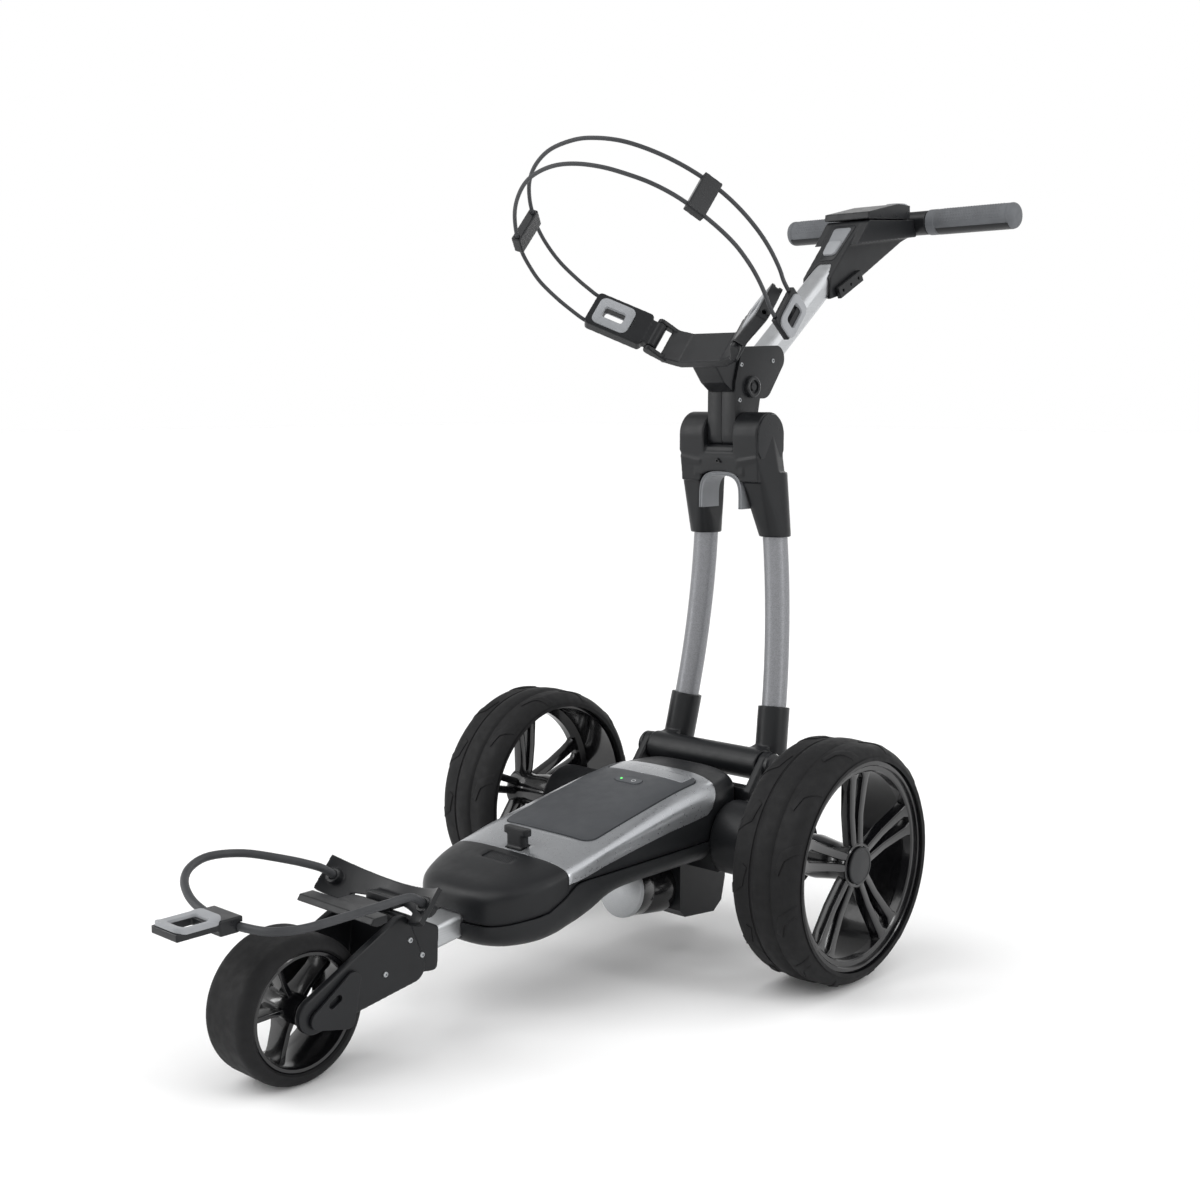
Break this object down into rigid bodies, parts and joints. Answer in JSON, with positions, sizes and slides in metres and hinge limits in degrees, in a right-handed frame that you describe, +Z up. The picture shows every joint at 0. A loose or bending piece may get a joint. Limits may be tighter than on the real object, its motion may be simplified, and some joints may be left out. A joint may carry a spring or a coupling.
{
  "type": "electric golf trolley",
  "caption": "Folding three-wheel electric golf trolley with a wide rear axle, under-slung motor, lift-out battery, bowed twin legs, bag cradles with rubber strap loops and a T-bar handle.",
  "frame": {"origin": "on the ground, in the middle of the trolley's length and width without its straps", "axes": "+Z up, -Y forwards to the front wheel, X along the rear axle and across the symmetric frame"},
  "size_m": [0.586, 1.262, 0.9819],
  "materials": {
    "shell_black": "fine-grained moulded black ABS",
    "frame_plastic": "moulded black glass-filled nylon",
    "silver_trim": "silver metallic lacquer",
    "silver_tube": "satin anodised aluminium tube",
    "leg_grey": "mid-grey metallic powder coat",
    "motor_black": "gloss black lacquered steel can",
    "motor_cap": "plain satin end disc",
    "battery_grey": "dark grey satin ABS",
    "button_grey": "soft dark grey button",
    "cell_blue": "blue shrink-wrapped cells",
    "circuit_board": "green lacquered board",
    "steel": "ground steel",
    "brass_gear": "machined gear bronze",
    "rotor_copper": "copper-wound armature",
    "tyre_rubber": "matte black rubber",
    "gloss_black": "glossy black wheel rim",
    "cap_black": "satin black cap",
    "latch_grey": "mid-grey moulded part",
    "grip_rubber": "mid-grey moulded rubber grip",
    "strap_rubber": "dark grey rubber cord"
  },
  "bodies": {
    "chassis": {"lower_shell": "shell_black", "nose_cover": "shell_black", "trim_surround": "silver_trim", "rear_housing": "shell_black", "gearbox_case": "shell_black", "motor_case": "motor_black", "motor_end_cap": "motor_cap", "front_tube": "silver_tube", "fork": "frame_plastic", "front_axle": "steel", "lower_cradle": "frame_plastic", "rest_foot": "frame_plastic", "battery_tray": "frame_plastic", "control_board": "circuit_board", "axle_bearings": "steel", "lower_hinge_pin": "steel", "lower_strap": "strap_rubber", "lower_buckle": "frame_plastic"},
    "battery": {"battery_case": "battery_grey", "battery_cells": "cell_blue"},
    "power_button": {"battery_button": "button_grey"},
    "carry_handle": {"battery_handle": "silver_trim"},
    "plug": {"battery_plug": "shell_black"},
    "axle": {"axle_shaft": "steel", "drive_gear": "brass_gear"},
    "gear_layshaft": {"layshaft": "brass_gear"},
    "rotor": {"motor_rotor": "rotor_copper"},
    "rear_wheel_left": {"rear_tyre_left": "tyre_rubber", "rear_rim_left": "gloss_black", "hub_cap_left": "cap_black", "freewheel_left": "steel"},
    "rear_wheel_right": {"rear_tyre_right": "tyre_rubber", "rear_rim_right": "gloss_black", "hub_cap_right": "cap_black", "freewheel_right": "steel"},
    "front_wheel": {"front_tyre": "tyre_rubber", "front_rim": "gloss_black", "front_bearings": "steel"},
    "lever": {"axle_lever": "frame_plastic"},
    "lower_frame": {"hinge_barrel": "frame_plastic", "leg_left": "leg_grey", "leg_right": "leg_grey", "yoke": "frame_plastic", "yoke_caps": "cap_black", "upper_hinge_pin": "steel"},
    "latch": {"arch_latch": "latch_grey"},
    "upper_frame": {"neck_halves": "frame_plastic", "upper_cradle": "frame_plastic", "stem": "silver_tube", "console_body": "frame_plastic", "console_cover": "frame_plastic", "accessory_brackets": "frame_plastic", "t_bar": "frame_plastic", "grips": "grip_rubber"},
    "speed_dial": {"dial_ring": "latch_grey"},
    "dial_push": {"dial_button": "button_grey"},
    "left_clip": {"clip_left": "frame_plastic", "upper_strap": "strap_rubber", "strap_fittings": "frame_plastic"},
    "right_clip": {"clip_right": "frame_plastic"}
  },
  "joints": [
    {"name": "lower_fold", "type": "hinge", "parent": "chassis", "child": "lower_frame", "pos_m": [0, 0.1535, 0.222], "axis": [1, 0, 0], "range_deg": [0, 70]},
    {"name": "upper_fold", "type": "hinge", "parent": "lower_frame", "child": "upper_frame", "pos_m": [0, 0.1955, 0.64], "axis": [-1, 0, 0], "range_deg": [0, 105]},
    {"name": "battery_lift", "type": "slide", "parent": "chassis", "child": "battery", "axis": [0, 0, -1], "range_m": [-0.08, 0]},
    {"name": "battery_button_press", "type": "slide", "parent": "battery", "child": "power_button", "axis": [0, 0, -1], "range_m": [0, 0.001], "stiffness_N_per_m": 500, "springref_m": -0.001},
    {"name": "battery_handle_lift", "type": "slide", "parent": "battery", "child": "carry_handle", "axis": [0, 0, -1], "range_m": [-0.012, 0]},
    {"name": "plug_pull", "type": "slide", "parent": "chassis", "child": "plug", "axis": [0, 0, -1], "range_m": [-0.03, 0]},
    {"name": "axle_spin", "type": "hinge", "parent": "chassis", "child": "axle", "pos_m": [0, 0.0835, 0.145], "axis": [1, 0, 0], "continuous": true},
    {"name": "layshaft_spin", "type": "hinge", "parent": "chassis", "child": "gear_layshaft", "pos_m": [0, 0.0835, 0.106], "axis": [1, 0, 0], "continuous": true},
    {"name": "motor_spin", "type": "hinge", "parent": "chassis", "child": "rotor", "pos_m": [0, -0.0205, 0.08], "axis": [0, 0.9903, -0.1392], "continuous": true},
    {"name": "rear_left_freewheel", "type": "hinge", "parent": "axle", "child": "rear_wheel_left", "pos_m": [-0.245, 0.0835, 0.145], "axis": [1, 0, 0], "continuous": true},
    {"name": "rear_right_freewheel", "type": "hinge", "parent": "axle", "child": "rear_wheel_right", "pos_m": [0.245, 0.0835, 0.145], "axis": [1, 0, 0], "continuous": true},
    {"name": "front_wheel_spin", "type": "hinge", "parent": "chassis", "child": "front_wheel", "pos_m": [0, -0.5265, 0.077], "axis": [1, 0, 0], "continuous": true},
    {"name": "axle_lever_swing", "type": "hinge", "parent": "chassis", "child": "lever", "pos_m": [0.052, -0.5345, 0.077], "axis": [0, 0, -1], "range_deg": [0, 80]},
    {"name": "latch_pull", "type": "slide", "parent": "lower_frame", "child": "latch", "axis": [0, 0, 1], "range_m": [0, 0.004], "stiffness_N_per_m": 600, "springref_m": -0.003},
    {"name": "dial_turn", "type": "hinge", "parent": "upper_frame", "child": "speed_dial", "pos_m": [0, 0.5775, 0.96], "axis": [0, 0, 1], "continuous": true},
    {"name": "dial_press", "type": "slide", "parent": "upper_frame", "child": "dial_push", "axis": [0, 0, -1], "range_m": [0, 0.001], "stiffness_N_per_m": 500, "springref_m": -0.001},
    {"name": "left_clip_swing", "type": "hinge", "parent": "upper_frame", "child": "left_clip", "pos_m": [-0.0704, 0.126, 0.765], "axis": [0, 0.6428, 0.766], "range_deg": [0, 20]},
    {"name": "right_clip_swing", "type": "hinge", "parent": "upper_frame", "child": "right_clip", "pos_m": [0.0704, 0.126, 0.765], "axis": [0, -0.6428, -0.766], "range_deg": [0, 20]}
  ],
  "couplings": [
    {"joint": "layshaft_spin", "follows": "axle_spin", "ratio": -1.3333},
    {"joint": "motor_spin", "follows": "axle_spin", "ratio": 26.667}
  ]
}
